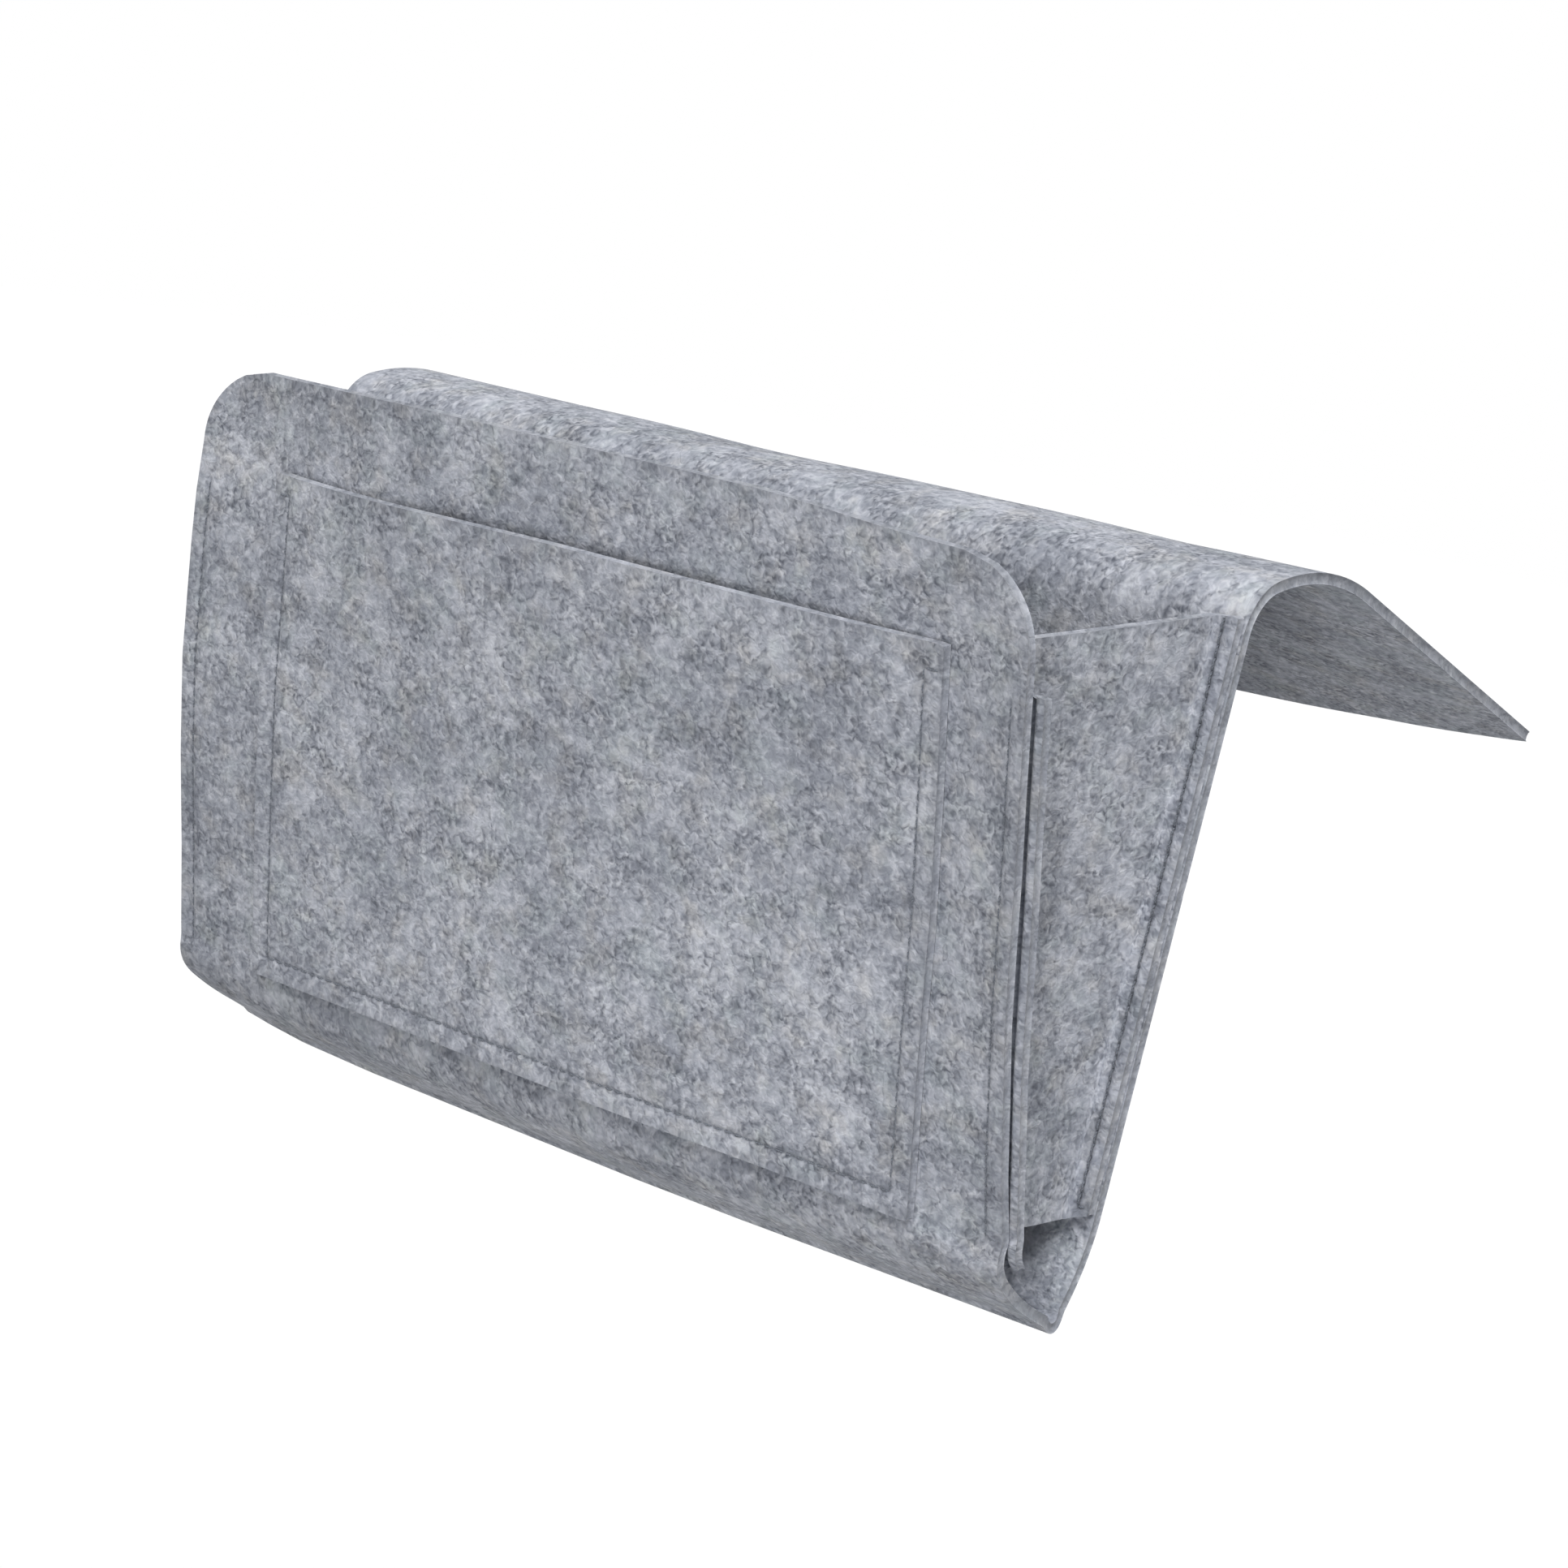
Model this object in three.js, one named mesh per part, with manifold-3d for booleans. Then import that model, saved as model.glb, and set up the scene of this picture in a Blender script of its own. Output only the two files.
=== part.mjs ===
// Bedside caddy of thick needled felt, in millimetres.
// One long felt sheet makes the tongue that is slipped under a mattress, the rounded top bend, the back
// panel, the bottom fold and the front panel. Two felt gussets close its sides, and a flat pocket is sewn
// to its front. Every seam is a lockstitch: one thread run on each side of the felt.
// +X runs along the width, +Y points towards the bed, +Z is up. The back panel hangs upright, and the
// origin is the middle of the tongue's underside, the face that rests on the bed base.

import * as THREE from 'three';
import { mergeVertices } from 'three/addons/utils/BufferGeometryUtils.js';
import Module from 'manifold-3d';

const wasm = await Module();
wasm.setup();

// Felt
const feltThickness = 3;
const layerGap = 0.3; // between two layers that lie on each other
const joinGap = 0.3; // between two lengths of the one body sheet

// Body sheet, measured on the face that ends up outside, from the tongue's free end to the front's top edge
const frontWidth = 310;
const tongueFlare = 12; // each side of the tongue stands out this far past the front
const tongueLength = 115;
const tongueSlopeDeg = 19.2; // the tongue's fall towards its free end
const slowBendRadius = 74;
const slowBendDeg = 35.5;
const ridgeRadius = 14;
const backHeight = 154;
const heelRadius = 72;
const heelDeg = 23.4;
const foldRadius = 6.5;
const foldDeg = 97;
const soleLength = 25;
const bellyRadius = 17.5;
const bellyDeg = 50;
const frontTopRise = 26; // the front's flat stretch is this much taller than the back's
const frontCornerRadius = 24;

// Front pocket
const pocketWidth = 247;
const pocketHeight = 152.5;
const pocketOffset = 4.5; // the pocket sits this far right of the middle
const pocketRise = 0.5; // above the start of the front's flat stretch
const pocketSeamInset = 5.8;
const pocketSeamDrop = 6.5; // the seam starts this far below the pocket's mouth

// Gussets
const gussetOverrun = 1; // past both ends of the back's flat stretch
const gussetFrontRise = 1.5; // above the start of the front's flat stretch
const frontFlangeWidth = 11.5;
const frontFlangeProud = 2.8; // past the front panel's side edge
const frontFlangeDrop = 12; // its free edge is cut this much lower than its crease
const backFlangeWidth = 8;
const backFlangeInset = 1.5; // inside the back panel's side edge
const frontCreaseRadius = 2.5;
const backCreaseRadius = 4;

// Seams
const threadWidth = 0.9;
const threadThickness = 0.6;
const threadClearance = 0.3; // round a thread in its pressed groove
const frontSeamInset = 4.8; // inside the front panel's side edge
const backSeamInset = 5; // inside the back panel's side edge
const seamEndMargin = 2; // from a gusset's cut end to its seam's end
const backTackLength = 5;
const cutOverrun = 1;

// Facets
const arcStepDeg = 9;
const creaseSteps = 4;
const gussetLevels = 12;

// Sizes that follow from these
const tongueWidth = frontWidth + 2 * tongueFlare;
const frontHeight = backHeight + frontTopRise;
const gussetHeight = backHeight + 2 * gussetOverrun;
const gussetBackRise = -gussetOverrun;

const feltMaterial = () => new THREE.MeshStandardMaterial({ color: 0x9da1a7, roughness: 0.96, metalness: 0 });
const threadMaterial = () => new THREE.MeshStandardMaterial({ color: 0x565c66, roughness: 0.7, metalness: 0 });

const caddy = new THREE.Group();

function addPiece(name, geometry, material) {
  const piece = new THREE.Mesh(geometry, material);
  piece.name = name;
  caddy.add(piece);
}

// Joins and cuts

function toSolid(geometry) {
  const plain = geometry.clone();
  plain.deleteAttribute('normal');
  plain.deleteAttribute('uv');
  const merged = mergeVertices(plain);
  const vertProperties = new Float32Array(merged.attributes.position.array);
  const triVerts = new Uint32Array(merged.index.array);
  return new wasm.Manifold(new wasm.Mesh({ numProp: 3, vertProperties, triVerts }));
}

function cutFrom(geometry, cutters) {
  let solid = toSolid(geometry);
  for (const cutter of cutters) solid = solid.subtract(toSolid(cutter));
  const mesh = solid.getMesh();
  const result = new THREE.BufferGeometry();
  result.setAttribute('position', new THREE.BufferAttribute(mesh.vertProperties, 3));
  result.setIndex(new THREE.BufferAttribute(mesh.triVerts, 1));
  result.computeVertexNormals();
  return result;
}

// A box of unit size bent into shape: place gives the point for the shares across, through and along.
// Mirrored pieces come out inside out, so their triangles are turned round.
function bentSlab(acrossSteps, alongSteps, place, mirrored = false) {
  const slab = new THREE.BoxGeometry(1, 1, 1, acrossSteps, 1, alongSteps);
  const position = slab.attributes.position;
  const point = new THREE.Vector3();
  for (let i = 0; i < position.count; i++) {
    point.fromBufferAttribute(position, i);
    const across = Math.round((point.x + 0.5) * acrossSteps);
    const along = Math.round((point.z + 0.5) * alongSteps);
    place(across, point.y + 0.5, along, point);
    position.setXYZ(i, point.x, point.y, point.z);
  }
  if (mirrored) {
    const order = slab.index.array;
    for (let i = 0; i < order.length; i += 3) [order[i], order[i + 1]] = [order[i + 1], order[i]];
  }
  slab.computeVertexNormals();
  return slab;
}

// The body sheet's side view, walked along its outer face from the tongue's free end.
// The felt lies on the right-hand side of the walk.

const walker = { y: 0, z: 0, heading: THREE.MathUtils.degToRad(180 - tongueSlopeDeg) };
walker.y = -Math.cos(walker.heading) * tongueLength / 2;
walker.z = -Math.sin(walker.heading) * tongueLength / 2;

function stationHere() {
  const { y, z, heading } = walker;
  return { y, z, inwardY: Math.sin(heading), inwardZ: -Math.cos(heading), half: frontWidth / 2 };
}

function walkStraight(length) {
  const stations = [stationHere()];
  walker.y += Math.cos(walker.heading) * length;
  walker.z += Math.sin(walker.heading) * length;
  stations.push(stationHere());
  return stations;
}

// A positive turn goes left, away from the felt, and a negative turn goes right, round it.
function walkArc(radius, turnDeg) {
  const steps = Math.ceil(Math.abs(turnDeg) / arcStepDeg);
  const side = Math.sign(turnDeg);
  const centreY = walker.y - side * Math.sin(walker.heading) * radius;
  const centreZ = walker.z + side * Math.cos(walker.heading) * radius;
  const start = walker.heading;
  const stations = [];
  for (let step = 0; step <= steps; step++) {
    walker.heading = start + THREE.MathUtils.degToRad(turnDeg) * step / steps;
    walker.y = centreY + side * Math.sin(walker.heading) * radius;
    walker.z = centreZ - side * Math.cos(walker.heading) * radius;
    stations.push(stationHere());
  }
  return stations;
}

// Stations without the repeats where one stretch starts on the last station of the one before
function chain(...stretches) {
  const stations = [...stretches[0]];
  for (const stretch of stretches.slice(1)) stations.push(...stretch.slice(1));
  return stations;
}

function distance(a, b) {
  return Math.hypot(a.y - b.y, a.z - b.z);
}

// Half of a join gap is taken off one end of a chain of stations.
function shorten(stations, end) {
  const [last, before] = end === 'start' ? [0, 1] : [stations.length - 1, stations.length - 2];
  const share = joinGap / 2 / distance(stations[last], stations[before]);
  for (const key of ['y', 'z', 'half']) {
    stations[last][key] += (stations[before][key] - stations[last][key]) * share;
  }
}

const ridgeDeg = 90 + tongueSlopeDeg - slowBendDeg;
const tongueStations = walkStraight(tongueLength);
const slowBendStations = walkArc(slowBendRadius, slowBendDeg);
const ridgeStations = walkArc(ridgeRadius, ridgeDeg);
const backFlatStations = walkStraight(backHeight);
const heelStations = walkArc(heelRadius, -heelDeg);
const foldStations = walkArc(foldRadius, -foldDeg);
const soleStations = walkStraight(soleLength);
const bellyStations = walkArc(bellyRadius, -bellyDeg);
const frontFlatStations = walkStraight(frontHeight);

const topBendStations = chain(slowBendStations, ridgeStations);
const backStations = chain(backFlatStations, heelStations);
for (const station of [...tongueStations, ...topBendStations]) station.half = tongueWidth / 2;

// The back panel narrows evenly from the tongue's width to the front's.
const heelLength = heelRadius * THREE.MathUtils.degToRad(heelDeg);
const backLength = backHeight + heelLength;
function backHalfAt(rise) {
  return frontWidth / 2 + (tongueWidth - frontWidth) / 2 * (rise + heelLength) / backLength;
}
backStations.forEach((station, index) => {
  const walkedHeel = heelLength * Math.max(index - 1, 0) / (heelStations.length - 1);
  station.half = backHalfAt(index === 0 ? backHeight : -walkedHeel);
});

// The front panel's two top corners are rounded, so its last stretch narrows station by station.
function roundedTop(stations) {
  const [low, top] = stations;
  const cornerSteps = Math.ceil(90 / arcStepDeg);
  const rounded = [low];
  for (let step = 0; step <= cornerSteps; step++) {
    const angle = Math.PI / 2 * step / cornerSteps;
    const share = (frontHeight - frontCornerRadius * (1 - Math.sin(angle))) / frontHeight;
    rounded.push({
      ...top,
      y: low.y + (top.y - low.y) * share,
      z: low.z + (top.z - low.z) * share,
      half: frontWidth / 2 - frontCornerRadius * (1 - Math.cos(angle)),
    });
  }
  return rounded;
}
const frontStations = chain(soleStations, bellyStations, roundedTop(frontFlatStations));

for (const stations of [topBendStations, backStations, foldStations, frontStations]) shorten(stations, 'start');
for (const stations of [tongueStations, topBendStations, backStations, foldStations]) shorten(stations, 'end');

function sheet(stations) {
  return bentSlab(1, stations.length - 1, (across, through, along, point) => {
    const { y, z, inwardY, inwardZ, half } = stations[along];
    const depth = through * feltThickness;
    point.set(across === 0 ? -half : half, y + inwardY * depth, z + inwardZ * depth);
  });
}

// Flat working planes: x across, y up the panel and z out of it towards the front

function panelPlane(origin, heading) {
  const up = new THREE.Vector3(0, Math.cos(heading), Math.sin(heading));
  const right = new THREE.Vector3(1, 0, 0);
  const out = new THREE.Vector3().crossVectors(right, up);
  return { origin: new THREE.Vector3(0, origin.y, origin.z), up, right, out };
}

function planePoint(plane, x, rise, out) {
  const point = plane.origin.clone().addScaledVector(plane.right, x);
  return point.addScaledVector(plane.up, rise).addScaledVector(plane.out, out);
}

// An outline drawn on a plane and raised from one height above it to another
function raised(plane, outline, lowOut, highOut) {
  const body = new THREE.ExtrudeGeometry(outline, { depth: highOut - lowOut, bevelEnabled: false });
  const turn = new THREE.Matrix4().makeBasis(plane.right, plane.up, plane.out);
  body.applyMatrix4(turn.setPosition(planePoint(plane, 0, 0, lowOut)));
  return body;
}

const frontPlane = panelPlane(frontFlatStations[0], walker.heading);
const backPlane = panelPlane(backFlatStations[1], Math.PI / 2);

// A point this deep behind the front panel's outer face. Below the flat stretch it follows the belly round.
function behindFront(rise, depth) {
  const turn = Math.max(-rise, 0) / bellyRadius;
  const radius = bellyRadius - depth;
  const flatRise = Math.max(rise, 0) - radius * Math.sin(turn);
  return planePoint(frontPlane, 0, flatRise, radius * Math.cos(turn) - bellyRadius);
}

// A flat run of thread along a line of points, and the same line widened for its groove
function ribbon(points, width) {
  const sides = [[], []];
  points.forEach((point, index) => {
    const before = points[Math.max(index - 1, 0)];
    const after = points[Math.min(index + 1, points.length - 1)];
    const into = point.clone().sub(index ? before : after).multiplyScalar(index ? 1 : -1).normalize();
    const onward = after.clone().sub(index < points.length - 1 ? point : before).normalize();
    const mitre = new THREE.Vector2(-into.y - onward.y, into.x + onward.x).normalize();
    const reach = width / 2 / mitre.dot(new THREE.Vector2(-onward.y, onward.x));
    sides[0].push(point.clone().addScaledVector(mitre, reach));
    sides[1].unshift(point.clone().addScaledVector(mitre, -reach));
  });
  return new THREE.Shape([...sides[0], ...sides[1]]);
}

// A seam's line is stretched at both ends so that its groove clears the thread there too.
function stretched(points, extra) {
  const longer = points.map((point) => point.clone());
  const pull = (end, next) => longer[end].addScaledVector(points[end].clone().sub(points[next]).normalize(), extra);
  pull(0, 1);
  pull(points.length - 1, points.length - 2);
  return longer;
}

const grooveWidth = threadWidth + 2 * threadClearance;
const grooveDepth = threadThickness + threadClearance;

// out is the height of the felt's face above the plane, and facing is 1 where that face looks out of
// the plane and -1 where it looks back into it.
function threadRun(plane, line, out, facing) {
  const heights = [out, out - facing * threadThickness].sort((a, b) => a - b);
  return raised(plane, ribbon(line, threadWidth), ...heights);
}

function groove(plane, line, out, facing) {
  const heights = [out + facing * cutOverrun, out - facing * grooveDepth].sort((a, b) => a - b);
  return raised(plane, ribbon(stretched(line, threadClearance), grooveWidth), ...heights);
}

// Seam lines, each with a short back-tack towards the edge where it starts or ends

const pocketLeft = pocketOffset - pocketWidth / 2;
const pocketRight = pocketOffset + pocketWidth / 2;
const pocketTop = pocketRise + pocketHeight;
const pocketSeamTop = pocketTop - pocketSeamDrop;
const pocketSeamBottom = pocketRise + pocketSeamInset;
const pocketLine = [
  new THREE.Vector2(pocketLeft + pocketSeamInset - backTackLength, pocketSeamTop),
  new THREE.Vector2(pocketLeft + pocketSeamInset, pocketSeamTop),
  new THREE.Vector2(pocketLeft + pocketSeamInset, pocketSeamBottom),
  new THREE.Vector2(pocketRight - pocketSeamInset, pocketSeamBottom),
  new THREE.Vector2(pocketRight - pocketSeamInset, pocketSeamTop),
  new THREE.Vector2(pocketRight - pocketSeamInset + backTackLength, pocketSeamTop),
];

const frontSeamLow = gussetFrontRise;
const frontSeamHigh = gussetFrontRise + gussetHeight - frontFlangeDrop - seamEndMargin;
const frontTackLength = Math.min(backTackLength, frontSeamInset - threadClearance - threadWidth);
function frontSeamLine(side) {
  const x = frontWidth / 2 - frontSeamInset;
  return [
    new THREE.Vector2(side * x, frontSeamHigh),
    new THREE.Vector2(side * x, frontSeamLow),
    new THREE.Vector2(side * (x + frontTackLength), frontSeamLow),
  ];
}

const backSeamLow = gussetBackRise + seamEndMargin;
const backSeamHigh = gussetBackRise + gussetHeight - seamEndMargin;
const backTack = backSeamInset - backFlangeInset - threadClearance - threadWidth / 2;
function backSeamLine(side) {
  return [
    new THREE.Vector2(side * (backHalfAt(backSeamHigh) - backSeamInset), backSeamHigh),
    new THREE.Vector2(side * (backHalfAt(backSeamLow) - backSeamInset), backSeamLow),
    new THREE.Vector2(side * (backHalfAt(backSeamLow) - backSeamInset + backTack), backSeamLow),
  ];
}

// Heights of the felt faces that carry thread, above the plane of their panel's outer face
const pocketInnerOut = layerGap;
const pocketOuterOut = layerGap + feltThickness;
const frontInnerOut = -feltThickness;
const flangeNearOut = feltThickness + layerGap;
const flangeFarOut = flangeNearOut + feltThickness;

// Body sheet

addPiece('tongue', sheet(tongueStations), feltMaterial());
addPiece('top_bend', sheet(topBendStations), feltMaterial());
addPiece('bottom_fold', sheet(foldStations), feltMaterial());

const sides = { left: -1, right: 1 };

addPiece(
  'back_panel',
  cutFrom(sheet(backStations), Object.values(sides).map((side) => groove(backPlane, backSeamLine(side), 0, -1))),
  feltMaterial(),
);

addPiece(
  'front_panel',
  cutFrom(sheet(frontStations), [
    groove(frontPlane, pocketLine, frontInnerOut, -1),
    ...Object.values(sides).map((side) => groove(frontPlane, frontSeamLine(side), 0, 1)),
  ]),
  feltMaterial(),
);

// Front pocket: a plain rectangle of felt, open at the top

const pocketOutline = new THREE.Shape([
  new THREE.Vector2(pocketLeft, pocketRise),
  new THREE.Vector2(pocketRight, pocketRise),
  new THREE.Vector2(pocketRight, pocketTop),
  new THREE.Vector2(pocketLeft, pocketTop),
]);
addPiece(
  'front_pocket',
  cutFrom(raised(frontPlane, pocketOutline, pocketInnerOut, pocketOuterOut), [
    groove(frontPlane, pocketLine, pocketOuterOut, 1),
  ]),
  feltMaterial(),
);

// Gussets: a flange sewn behind the front panel, a web across the pouch's depth, and a flange sewn to
// the back panel. Both flanges point outwards, so their raw edges show.

// A line with its corners rounded, as points with the direction towards the gusset's outer face
function roundedSection(corners, radii) {
  const section = [];
  const note = (point, along) => section.push({ point, toOuter: new THREE.Vector2(along.y, -along.x) });
  corners.forEach((corner, index) => {
    const before = corners[index - 1];
    const after = corners[index + 1];
    if (!before || !after) {
      note(corner, (before ? corner.clone().sub(before) : after.clone().sub(corner)).normalize());
      return;
    }
    const radius = radii[index - 1];
    const enter = corner.clone().addScaledVector(before.clone().sub(corner).normalize(), radius);
    const leave = corner.clone().addScaledVector(after.clone().sub(corner).normalize(), radius);
    const curve = new THREE.QuadraticBezierCurve(enter, corner, leave);
    for (let step = 0; step <= creaseSteps; step++) {
      note(curve.getPoint(step / creaseSteps), curve.getTangent(step / creaseSteps));
    }
  });
  return section;
}

function gusset(side) {
  const frontFree = frontWidth / 2 + frontFlangeProud;
  const frontCrease = frontFree - frontFlangeWidth;
  const middle = feltThickness / 2;
  const levels = [];
  for (let level = 0; level <= gussetLevels; level++) {
    const climb = gussetHeight * level / gussetLevels;
    const rise = gussetFrontRise + climb;
    const front = behindFront(rise, flangeNearOut);
    const back = planePoint(backPlane, 0, gussetBackRise + climb, flangeNearOut);
    const backFree = backHalfAt(gussetBackRise + climb) - backFlangeInset;
    const depth = front.distanceTo(back);
    const corners = [
      new THREE.Vector2(frontFree, middle),
      new THREE.Vector2(frontCrease - middle, middle),
      new THREE.Vector2(backFree - backFlangeWidth - middle, depth - middle),
      new THREE.Vector2(backFree, depth - middle),
    ];
    const inward = back.clone().sub(front).normalize();
    levels.push({ rise, front, inward, section: roundedSection(corners, [frontCreaseRadius, backCreaseRadius]) });
  }
  const sectionSteps = levels[0].section.length - 1;
  const place = (across, through, along, point) => {
    const { rise, front, inward, section } = levels[along];
    const { point: middlePoint, toOuter } = section[across];
    const offset = (through - 0.5) * feltThickness;
    const x = middlePoint.x + toOuter.x * offset;
    const depth = middlePoint.y + toOuter.y * offset;
    if (across === 0) point.copy(behindFront(rise - frontFlangeDrop, flangeNearOut + depth));
    else point.copy(front).addScaledVector(inward, depth);
    point.x = side * x;
  };
  return bentSlab(sectionSteps, gussetLevels, place, side > 0);
}

for (const [name, side] of Object.entries(sides)) {
  const grooves = [
    groove(frontPlane, frontSeamLine(side), -flangeFarOut, -1),
    groove(backPlane, backSeamLine(side), flangeFarOut, 1),
  ];
  addPiece(`${name}_gusset`, cutFrom(gusset(side), grooves), feltMaterial());
}

// Seam threads: the needle thread lies on the face that is sewn from, the bobbin thread on the other.

addPiece('pocket_needle_thread', threadRun(frontPlane, pocketLine, pocketOuterOut, 1), threadMaterial());
addPiece('pocket_bobbin_thread', threadRun(frontPlane, pocketLine, frontInnerOut, -1), threadMaterial());
for (const [name, side] of Object.entries(sides)) {
  const runs = {
    front_needle: threadRun(frontPlane, frontSeamLine(side), 0, 1),
    front_bobbin: threadRun(frontPlane, frontSeamLine(side), -flangeFarOut, -1),
    back_needle: threadRun(backPlane, backSeamLine(side), flangeFarOut, 1),
    back_bobbin: threadRun(backPlane, backSeamLine(side), 0, -1),
  };
  for (const [run, geometry] of Object.entries(runs)) {
    addPiece(`${name}_${run}_thread`, geometry, threadMaterial());
  }
}

export default caddy;
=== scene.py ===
# A bedside caddy of grey needled felt. Its tongue is slipped under the mattress, and the pouch hangs down
# beside the bed. The file follows the order in which it is made: the long body sheet, the front pocket,
# the two gussets, the seams that join them, and last the floor, the light and the camera.
# Lengths are in millimetres until a mesh is made. +X is the caddy's right, +Y points to the bed, +Z is up.

import math

import bpy
import numpy as np
from mathutils import Matrix, Vector


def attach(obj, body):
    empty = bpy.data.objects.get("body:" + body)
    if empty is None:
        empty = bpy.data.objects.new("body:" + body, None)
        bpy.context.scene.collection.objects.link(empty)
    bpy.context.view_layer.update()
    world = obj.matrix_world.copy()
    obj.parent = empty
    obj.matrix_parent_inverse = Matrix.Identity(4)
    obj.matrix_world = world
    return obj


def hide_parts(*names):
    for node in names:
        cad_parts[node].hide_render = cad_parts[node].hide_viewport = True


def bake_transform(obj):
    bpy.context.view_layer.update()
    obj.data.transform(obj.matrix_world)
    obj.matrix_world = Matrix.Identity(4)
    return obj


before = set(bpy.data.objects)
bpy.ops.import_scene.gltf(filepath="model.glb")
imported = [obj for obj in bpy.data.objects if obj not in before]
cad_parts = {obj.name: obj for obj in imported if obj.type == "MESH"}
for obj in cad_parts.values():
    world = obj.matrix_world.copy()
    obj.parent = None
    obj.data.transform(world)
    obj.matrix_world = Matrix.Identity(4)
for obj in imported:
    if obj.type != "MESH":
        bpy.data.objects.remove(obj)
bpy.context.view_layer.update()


# Body sheet
# One strip of 3 mm needled felt makes the tongue, the top bend, the back, the bottom fold and the front.
# It is die cut and bent without a crease, so its faces stay matted and its cut edges show loose fibre ends.

felt_thickness = 3.0
mm = 0.001

# The side view, walked along the face that ends up outside. A stretch is its length, or its radius and its
# turn in degrees. The felt lies on the right of the walk.
stretches = [
    (115, 0),  # tongue
    (74, 35.5),  # slow bend over the bed's side
    (14, 73.7),  # ridge
    (154, 0),  # back
    (72, -23.4),  # heel
    (6.5, -97),  # fold
    (25, 0),  # sole
    (17.5, -50),  # belly
    (180, 0),  # front
]
ridge, back, heel, fold, belly, front = 2, 3, 4, 5, 7, 8
tongue_slope = 19.2
walk_lengths = [size if not turn else size * math.radians(abs(turn)) for size, turn in stretches]
walk_starts = np.concatenate([[0], np.cumsum(walk_lengths)])


def side_view(path):
    """Place in the side view, and heading, at lengths along the outer face. The walk starts at the tongue's
    tip, and the frame's origin is the middle of the tongue."""
    path = np.asarray(path, float)
    y, z, heading = np.zeros(path.shape), np.zeros(path.shape), np.zeros(path.shape)
    at_heading = math.radians(180 - tongue_slope)
    at_y = -math.cos(at_heading) * stretches[0][0] / 2
    at_z = -math.sin(at_heading) * stretches[0][0] / 2
    for (_, turn), start, length in zip(stretches, walk_starts, walk_lengths):
        here = path >= start
        gone = np.minimum(path[here] - start, length)
        bend = math.radians(turn) / length
        for run, last in ((gone, False), (length, True)):
            if turn:
                new_heading = at_heading + bend * run
                new_y = at_y + (np.sin(new_heading) - math.sin(at_heading)) / bend
                new_z = at_z - (np.cos(new_heading) - math.cos(at_heading)) / bend
            else:
                new_heading = at_heading + 0 * run
                new_y = at_y + math.cos(at_heading) * run
                new_z = at_z + math.sin(at_heading) * run
            if last:
                at_heading, at_y, at_z = float(new_heading), float(new_y), float(new_z)
            else:
                heading[here], y[here], z[here] = new_heading, new_y, new_z
    return y, z, heading


# Half the sheet's width: the back narrows evenly from the tongue to the front, and the front's two top
# corners are rounded.
front_half, tongue_half, corner_radius = 155.0, 167.0, 24.0
front_height = stretches[front][0]
sheet_length = walk_starts[-1]


def half_width(path):
    narrowing = np.clip((path - walk_starts[back]) / (walk_starts[fold] - walk_starts[back]), 0, 1)
    rounding = np.clip((path - (sheet_length - corner_radius)) / corner_radius, 0, 1)
    cut_away = corner_radius * (1 - np.sqrt(1 - rounding ** 2))
    return tongue_half + (front_half - tongue_half) * narrowing - cut_away


def smooth(value, low, high):
    share = np.clip((value - low) / (high - low), 0, 1)
    return share * share * (3 - 2 * share)


def ripple(x, along, size):
    """Slow unevenness of a felt sheet, from -1 to 1, over about this many millimetres."""
    a = np.sin(2 * math.pi * (x / 1.3 + 0.31 * along) / size + 0.8)
    b = np.sin(2 * math.pi * (along / 1.1 - 0.42 * x) / size + 2.1)
    c = np.sin(2 * math.pi * (x / 0.7 + along / 0.8) / size + 4.4)
    return 0.45 * a + 0.35 * b + 0.2 * c


# The felt has settled out of its even shape. The tables below give by how much, as measured in the photo at
# heights above the front's foot or at places across the width.
doubled_right = 124.0


def front_lean(x, rise):
    """How far the front stands out of its plane. The doubled middle leans in a little at the pocket's right
    edge, and the single strip past it curls out, apart from its foot, which the gusset holds back. The top
    left corner leans in."""
    at_pocket = np.interp(
        rise, [-40, 0, 80, 100, 120, 140, 152, 180], [0, -2.2, -2.2, -1.3, -0.6, 0.4, 0.8, 1.5])
    at_edge = np.interp(
        rise, [-40, 0, 20, 40, 60, 80, 100, 120, 140, 160, 180],
        [0, -4.3, -1.1, 0.9, 3.1, 4.0, 4.7, 6.0, 6.7, 7.0, 6.2])
    at_left = np.interp(
        rise, [-40, 0, 30, 60, 90, 110, 125, 140, 155, 180],
        [0, 0, 0.5, 1.6, 1.7, 0.1, -1.2, -2.8, -5.2, -8.0])
    curl = np.clip((x - doubled_right) / (front_half - doubled_right), 0, 1.1) ** 1.3
    crown = 1.5 * smooth(rise, 100, 180) * np.cos(math.pi * x / 2 / front_half)
    wave = 0.35 * ripple(x, rise, 95) * smooth(rise, -30, 20)
    lean = at_pocket * smooth(x, 10, doubled_right) + (at_edge - at_pocket) * curl
    return lean + at_left * smooth(-x, 60, 150) + crown + wave


def bulge(x, rise):
    """How far the felt between the fold and the front's foot swells out, most at the right."""
    most = np.interp(x, [-front_half, 0, front_half], [1.5, 2.0, 3.2])
    return most * np.sin(math.pi * np.clip((rise + 40) / 42, 0, 1))


tongue_droop = 7.2


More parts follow.
